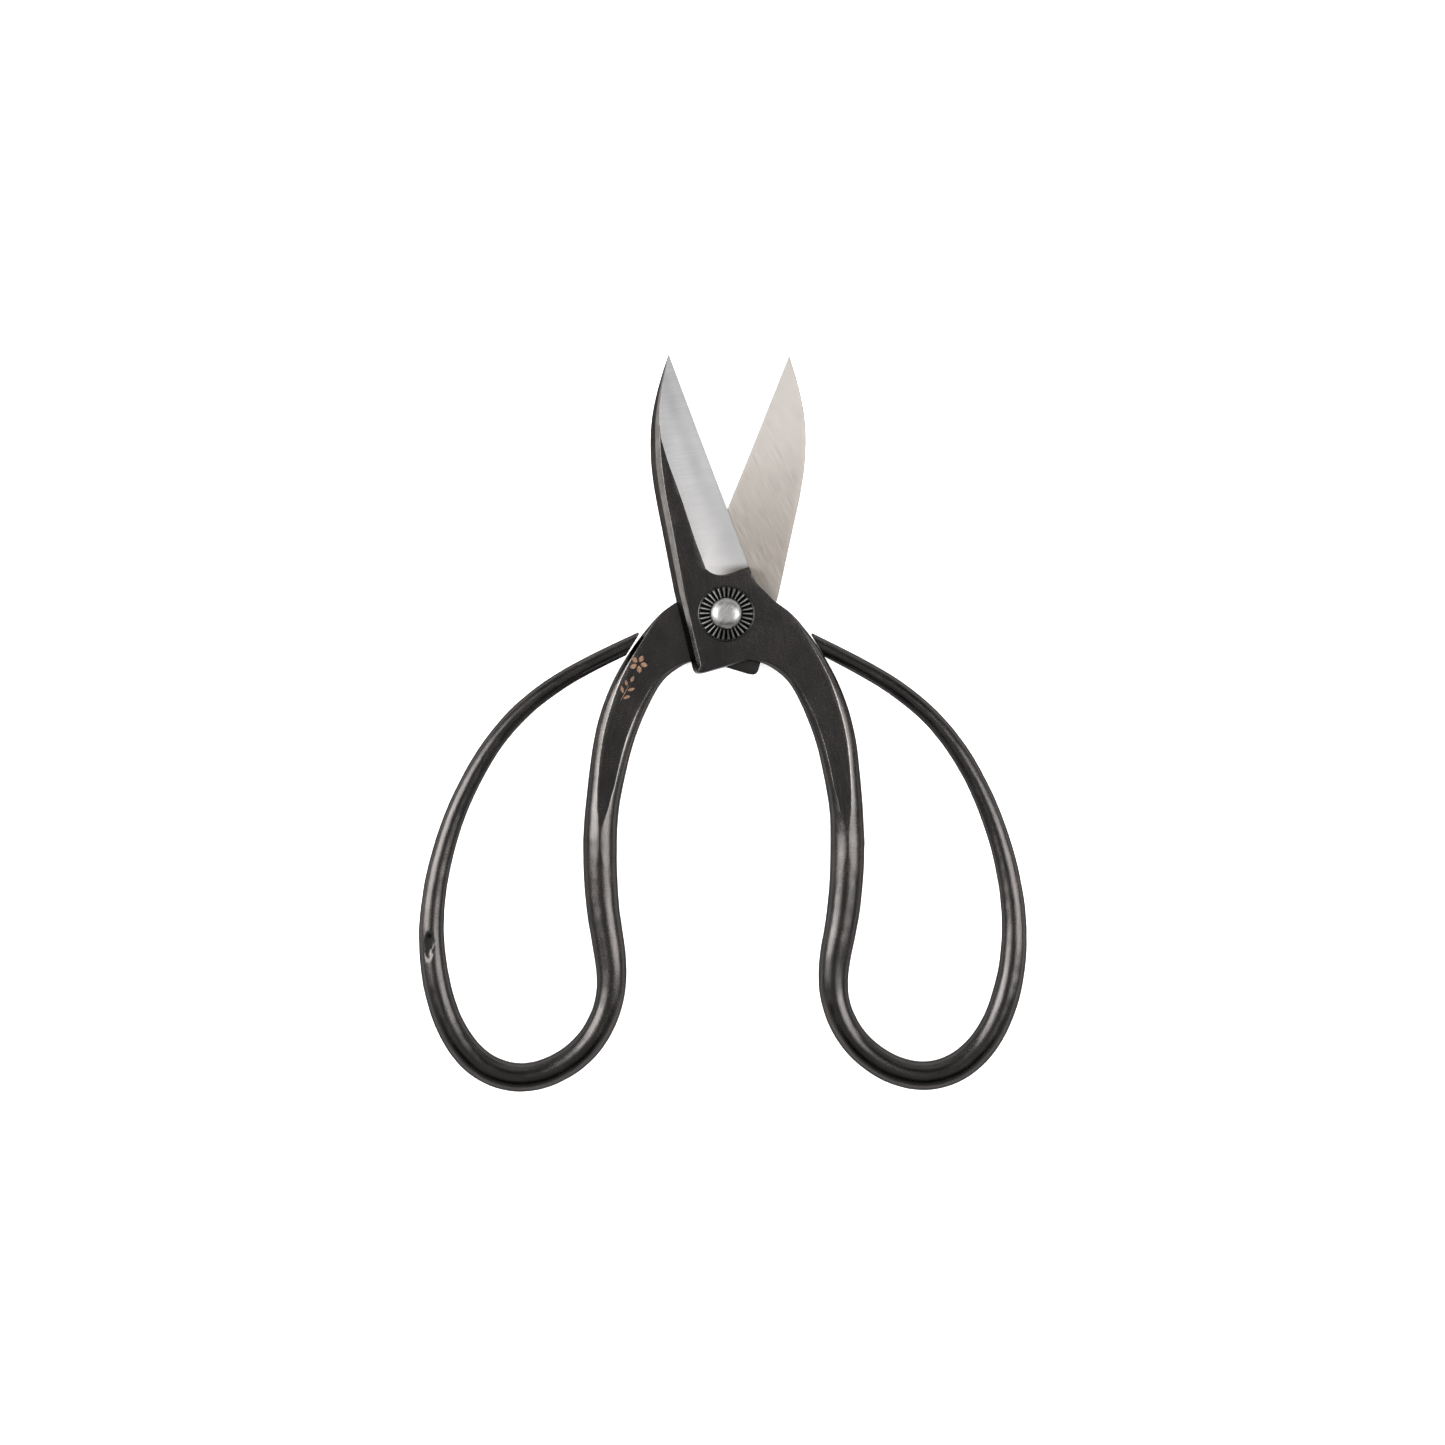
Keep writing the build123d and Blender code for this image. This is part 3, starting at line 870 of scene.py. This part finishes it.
def black_oxide_nodes(paint):
    """Colour, roughness and bumps of blackened forging scale, grained along the bar, with corners
    lightened by rubbing and a painted highlight, and a painted dark line of shade along the knee.
    """
    flow, place = paint.uv("flow"), paint.place()
    along_bar = paint.noise(paint.scaled(flow, FORGING_GRAIN), detail=4.0, roughness=0.65)
    blade_flow = paint.scaled(place, FORGING_GRAIN, radians(-12))
    along_blade = paint.noise(blade_flow, detail=4.0, roughness=0.65)
    on_blade = paint.ramp(paint.split(place, 1), -1.3, -0.4)
    grain = paint.blend(on_blade, along_bar, along_blade)
    speckle = paint.noise(place, scale=55.0, detail=2.0)
    cloud = paint.noise(place, scale=1.1, detail=3.0)
    colour = paint.mix(paint.ramp(grain, 0.3, 0.72), BLACK_DARK, BLACK_LIGHT)
    colour = paint.mix(paint.ramp(cloud, 0.45, 0.75, 0.0, 0.35), colour, BLACK_BROWN)
    wear_and_painted_light = paint.uv("wear_and_painted_light")
    patchy = paint.ramp(paint.noise(place, scale=3.0, detail=3.0), 0.35, 0.65, 0.6, 1.0)
    # Corners lighter from rubbing and from a painted highlight.
    rubbed_and_highlight = paint.maths("MULTIPLY", paint.split(wear_and_painted_light, 0), patchy, clamp=True)
    colour = paint.mix(paint.maths("MULTIPLY", rubbed_and_highlight, 0.7), colour, RUBBED_AND_HIGHLIGHT)
    # Painted shade: a dark line along the knee crease.
    knee_shade = paint.ramp(paint.split(wear_and_painted_light, 1), 0.72, 0.95, 0.0, 0.85)
    colour = paint.mix(knee_shade, colour, BLACK_KNEE_SHADE)
    fine_rough = paint.ramp(speckle, 0.3, 0.7, 0.0, 0.08)
    rough = paint.maths("ADD", fine_rough, paint.ramp(cloud, 0.3, 0.7, 0.17, 0.23))
    normal = paint.bump(grain, 0.22, COARSE_BUMP)
    normal = paint.bump(speckle, 0.16, COARSE_BUMP, normal)
    return colour, rough, normal


black = Paint("black_oxide", Metallic=1.0, Specular_Tint=BLACK_EDGE_TINT)
colour, rough, normal = black_oxide_nodes(black)
for socket, value in (("Base Color", colour), ("Roughness", rough), ("Normal", normal)):
    black.give(socket, value)
black_oxide = black.material

# The bevel: fine grinding lines nearly square to the edge, rising a little to the right.
STEEL_COOL, STEEL_PALE = (0.235, 0.234, 0.237), (0.28, 0.279, 0.281)
# Next line: a warm tone, then a painted shade for a stripe along the bevel.
STEEL_WARM, STEEL_BAND_SHADE = (0.315, 0.308, 0.303), (0.175, 0.175, 0.182)
STEEL_HEEL, STEEL_HEEL_EDGE = (0.26, 0.245, 0.235), (0.155, 0.155, 0.158)
# A painted shade where the bevel runs out into its wall.
STEEL_RUN_OUT_SHADE = (0.075, 0.068, 0.06)
# Where the stripe of painted shade lies up the bevel, and how far it reaches either side of its middle.
BAND_FROM_EDGE, BAND_WIDTH = 0.34, 0.24  # centimetres
GRIND_LINES = radians(-11)

bevel = Paint("ground_bevel", Metallic=1.0)
place = bevel.place()
lines = bevel.noise(bevel.scaled(place, (1.6, 60.0, 1.0), GRIND_LINES), detail=5.0, roughness=0.7)
broad = bevel.noise(bevel.scaled(place, (0.35, 5.0, 1.0), GRIND_LINES), detail=3.0)
from_edge = bevel.node(
    "VectorMath",
    {0: place, 1: (-cos(EDGE_ANGLE), -sin(EDGE_ANGLE), 0.0)},
    output=1, operation="DOT_PRODUCT",
)
from_edge = bevel.maths("ADD", from_edge, (TIP[0] * cos(EDGE_ANGLE) + TIP[1] * sin(EDGE_ANGLE)) / 10)
cloud = bevel.noise(bevel.scaled(place, (2.2, 0.7, 1.0), EDGE_ANGLE), detail=3.0)
# Painted shade: a darker stripe a short way up the bevel, standing in for a hollow grind's shading.
band_shade = bevel.maths(
    "MULTIPLY",
    bevel.ramp(
        bevel.maths("ABSOLUTE", bevel.maths("SUBTRACT", from_edge, BAND_FROM_EDGE)), BAND_WIDTH, 0.0
    ),
    bevel.ramp(bevel.split(place, 1), 1.6, 3.4),
)
band_shade = bevel.maths("MULTIPLY", band_shade, bevel.ramp(cloud, 0.3, 0.7, 0.35, 0.6))
colour = bevel.mix(bevel.ramp(lines, 0.32, 0.68), STEEL_COOL, STEEL_PALE)
colour = bevel.mix(bevel.ramp(broad, 0.45, 0.75, 0.0, 0.3), colour, STEEL_WARM)
colour = bevel.mix(band_shade, colour, STEEL_BAND_SHADE)
near_heel = bevel.ramp(bevel.split(place, 1), 4.0, 1.5)
colour = bevel.mix(bevel.maths("MULTIPLY", near_heel, 0.35), colour, STEEL_HEEL)
near_edge = bevel.maths("MULTIPLY", near_heel, bevel.ramp(from_edge, 0.85, 0.15, 0.0, 0.6))
colour = bevel.mix(near_edge, colour, STEEL_HEEL_EDGE)
# Painted shade where the bevel runs out into its wall, deeper towards the edge.
above_run_out = bevel.node(
    "VectorMath", {0: place, 1: (-0.13, 1.0, 0.0)}, output=1, operation="DOT_PRODUCT"
)
run_out_shade = bevel.maths(
    "MULTIPLY",
    bevel.ramp(above_run_out, 1.17, 0.98),
    bevel.ramp(bevel.split(place, 0), -0.45, 0.35),
)
colour = bevel.mix(run_out_shade, colour, STEEL_RUN_OUT_SHADE)
bevel.give("Base Color", colour)
bevel.give("Roughness", bevel.ramp(lines, 0.3, 0.7, 0.40, 0.48))
bevel.give("Normal", bevel.bump(lines, 0.12, FINE_BUMP))
ground_bevel = bevel.material

# The inner face: ground with long steep scratches, blackened past the rivet.
INNER_WARM, INNER_COOL = (0.228, 0.205, 0.182), (0.44, 0.415, 0.392)
INNER_SCRATCH, INNER_CLOUD = (0.46, 0.42, 0.38), (0.27, 0.255, 0.245)
inner = Paint("inner_face", Metallic=1.0)
place = inner.place()
scratch = inner.noise(inner.scaled(place, (60.0, 1.6, 1.0), radians(27)), detail=5.0, roughness=0.65)
cloud = inner.noise(place, scale=0.8, detail=3.0)
warmth = inner.ramp(inner.split(place, 1), 0.9, 5.0)
colour = inner.mix(warmth, INNER_WARM, INNER_COOL)
colour = inner.mix(inner.ramp(scratch, 0.3, 0.7, 0.0, 0.35), colour, INNER_SCRATCH)
colour = inner.mix(inner.ramp(cloud, 0.5, 0.75, 0.0, 0.3), colour, INNER_CLOUD)
rough = inner.ramp(scratch, 0.3, 0.7, 0.4, 0.52)
normal = inner.bump(scratch, 0.14, FINE_BUMP)
scale_colour, scale_rough = black_oxide_nodes(inner)[:2]
ragged = inner.maths("MULTIPLY", inner.noise(place, scale=6.0, detail=3.0), 0.16)
from_line = inner.maths(
    "SUBTRACT", inner.split(place, 1), inner.maths("MULTIPLY", inner.split(place, 0), 0.5)
)
past = inner.ramp(inner.maths("ADD", from_line, ragged), 0.68, 0.62)
colour = inner.mix(past, colour, scale_colour)
rough = inner.blend(past, rough, scale_rough)
inner.give("Base Color", colour)
inner.give("Roughness", rough)
inner.give("Normal", normal)
inner_steel = inner.material

TAN_DARK, TAN_LIGHT = (0.115, 0.066, 0.04), (0.21, 0.125, 0.078)
motif = Paint("engraved_tan", Metallic=0.6)
place = motif.place()
mottle = motif.noise(place, scale=30.0, detail=3.0)
motif.give("Base Color", motif.mix(motif.ramp(mottle, 0.35, 0.65), TAN_DARK, TAN_LIGHT))
motif.give("Roughness", motif.ramp(mottle, 0.3, 0.7, 0.4, 0.55))
engraved_tan = motif.material

RIVET_DARK, RIVET_LIGHT = (0.19, 0.187, 0.182), (0.32, 0.315, 0.308)
RIVET_MOTTLE = (0.16, 0.157, 0.153)
head = Paint("rivet_steel", Metallic=1.0)
place = head.place()
brush = head.noise(head.scaled(place, (3.0, 75.0, 3.0), radians(-52)), detail=4.0, roughness=0.6)
mottle = head.noise(place, scale=14.0, detail=3.0)
colour = head.mix(head.ramp(brush, 0.3, 0.7), RIVET_DARK, RIVET_LIGHT)
colour = head.mix(head.ramp(mottle, 0.55, 0.75, 0.0, 0.4), colour, RIVET_MOTTLE)
head.give("Base Color", colour)
head.give("Roughness", head.ramp(brush, 0.3, 0.7, 0.36, 0.48))
head.give("Normal", head.bump(brush, 0.3, FINE_BUMP))
rivet_steel = head.material

WASHER_DARK, WASHER_LIGHT = (0.018, 0.018, 0.018), (0.03, 0.03, 0.03)
WASHER_CREST_HIGHLIGHT = (0.12, 0.118, 0.114)  # a painted highlight on top of the ribs
gloss = Paint("black_washer", Metallic=1.0, Specular_Tint=BLACK_EDGE_TINT)
place = gloss.place()
mottle = gloss.noise(place, scale=20.0, detail=3.0)
colour = gloss.mix(gloss.ramp(mottle, 0.35, 0.7), WASHER_DARK, WASHER_LIGHT)
# Painted highlight on the ribs' crests.
crown = gloss.ramp(gloss.split(gloss.uv("wear_and_painted_light"), 0), 0.3, 0.95)
gloss.give("Base Color", gloss.mix(crown, colour, WASHER_CREST_HIGHLIGHT))
gloss.give("Roughness", gloss.ramp(mottle, 0.3, 0.7, 0.26, 0.36))
gloss.give("Normal", gloss.bump(mottle, 0.12, COARSE_BUMP))
black_washer = gloss.material

# ---------------------------------------------------------------- the object
forged_half("front_forging", "front", "front_half", (0, 0, 0), False)
forged_half("rear_forging", "rear", "rear_half", (31, 12, 5), True)
turned_piece("rivet", rivet_points(), rivet_steel, "rear", "pivot_rivet")
for name, side in (("front_washer", 1), ("rear_washer", -1)):
    node = name.replace("washer", "crown_washer")
    points, wear_and_highlight = washer_points(side)
    turned_piece(name, points, black_washer, "rear", node, wear_and_highlight)

# ---------------------------------------------------------------- studio
scene.view_settings.view_transform = "Standard"

FLOOR_REACH, FLOOR_WHITE, FLOOR_GLOW = 3.0, 0.85, 0.45
floor_corners = [
    (x * FLOOR_REACH, y * FLOOR_REACH, 0) for x, y in ((-1, -1), (1, -1), (1, 1), (-1, 1))
]
floor_mesh = bpy.data.meshes.new("floor")
floor_mesh.from_pydata(floor_corners, [], [(0, 1, 2, 3)])
floor = bpy.data.objects.new("floor", floor_mesh)
scene.collection.objects.link(floor)
white = Paint("floor_white", Roughness=0.9)
white.shader.inputs["Base Color"].default_value = (*[FLOOR_WHITE] * 3, 1)
white.shader.inputs["Specular IOR Level"].default_value = 0.0
white.shader.inputs["Emission Color"].default_value = (1, 1, 1, 1)
white.shader.inputs["Emission Strength"].default_value = FLOOR_GLOW
floor_mesh.materials.append(white.material)

world = bpy.data.worlds.new("studio")
scene.world = world
world.use_nodes = True
background = world.node_tree.nodes["Background"]
background.inputs["Color"].default_value = (1, 1, 1, 1)
background.inputs["Strength"].default_value = 1.0
world.cycles_visibility.glossy = False  # the steel mirrors the lamps only


def softbox(name, azimuth, tilt, distance, width, height, radiance):
    """A rectangular lamp facing the rivet. Angles are in degrees, tilt from straight up."""
    azimuth, tilt = radians(azimuth), radians(tilt)
    light = bpy.data.lights.new(name, "AREA")
    light.shape, light.size, light.size_y = "RECTANGLE", width, height
    light.energy = radiance * pi * width * height
    lamp = bpy.data.objects.new(name, light)
    scene.collection.objects.link(lamp)
    way = Vector((sin(tilt) * cos(azimuth), sin(tilt) * sin(azimuth), cos(tilt)))
    lamp.location = way * distance
    lamp.rotation_euler = way.to_track_quat("Z", "Y").to_euler()
    lamp.visible_camera = False


softbox("left_box", 170, 50, 0.7, 0.32, 0.56, 14.0)
softbox("right_box", 3, 44, 0.7, 0.30, 0.52, 10.5)
softbox("left_fill", 175, 42, 0.9, 0.7, 0.9, 0.7)
softbox("right_fill", 5, 42, 0.9, 0.7, 0.9, 0.5)
softbox("top_box", 0, 0, 1.2, 1.0, 1.4, 0.6)
softbox("back_box", 90, 62, 0.9, 0.9, 0.6, 0.8)
# Low walls of light that only glancing views of the flats mirror.
for name, azimuth, radiance in (
    ("east", 0, 0.8), ("north", 90, 0.8), ("west", 180, 0.8), ("south", 270, 0.6),
):
    softbox(name + "_wall", azimuth, 73, 1.0, 2.3, 0.5, radiance)
